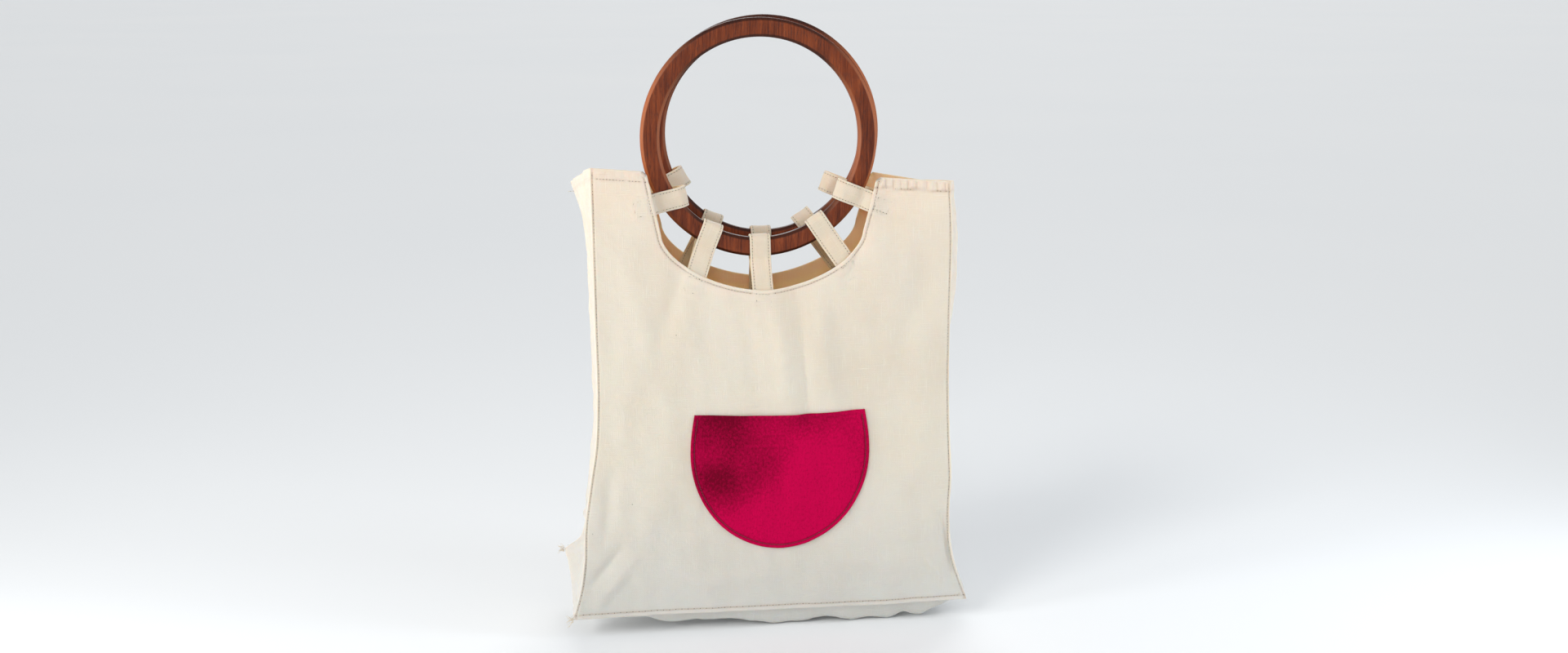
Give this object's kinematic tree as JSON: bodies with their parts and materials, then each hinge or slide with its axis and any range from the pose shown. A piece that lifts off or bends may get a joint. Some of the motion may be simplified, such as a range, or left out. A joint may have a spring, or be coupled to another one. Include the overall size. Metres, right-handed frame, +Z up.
{
  "type": "cloth tote bag with round wooden ring handles",
  "caption": "Cream canvas tote bag hanging from a pair of round wooden ring handles by cloth loops, with a half-round neckline cut-out and a half-disc patch pocket.",
  "frame": {"origin": "where a hand grips: the inner top of the two rings, half way between them", "axes": "+Z up, the pocket side faces -Y, +X to the right for someone who faces the pocket"},
  "size_m": [0.3578, 0.1088, 0.5336],
  "materials": {
    "stained_wood": "reddish brown stain, satin varnish",
    "canvas": "plain-woven natural cotton canvas",
    "canvas_strap": "folded and topstitched natural cotton canvas",
    "crimson_cloth": "crimson twill with a soft sheen"
  },
  "bodies": {
    "root": {"front_ring": "stained_wood", "back_ring": "stained_wood", "front_panel": "canvas", "back_panel": "canvas", "left_gusset": "canvas", "right_gusset": "canvas", "bottom_panel": "canvas", "pocket": "crimson_cloth", "front_strap_1": "canvas_strap", "front_strap_2": "canvas_strap", "front_strap_3": "canvas_strap", "front_strap_4": "canvas_strap", "front_strap_5": "canvas_strap", "back_strap_1": "canvas_strap", "back_strap_2": "canvas_strap", "back_strap_3": "canvas_strap", "back_strap_4": "canvas_strap", "back_strap_5": "canvas_strap"}
  },
  "joints": []
}
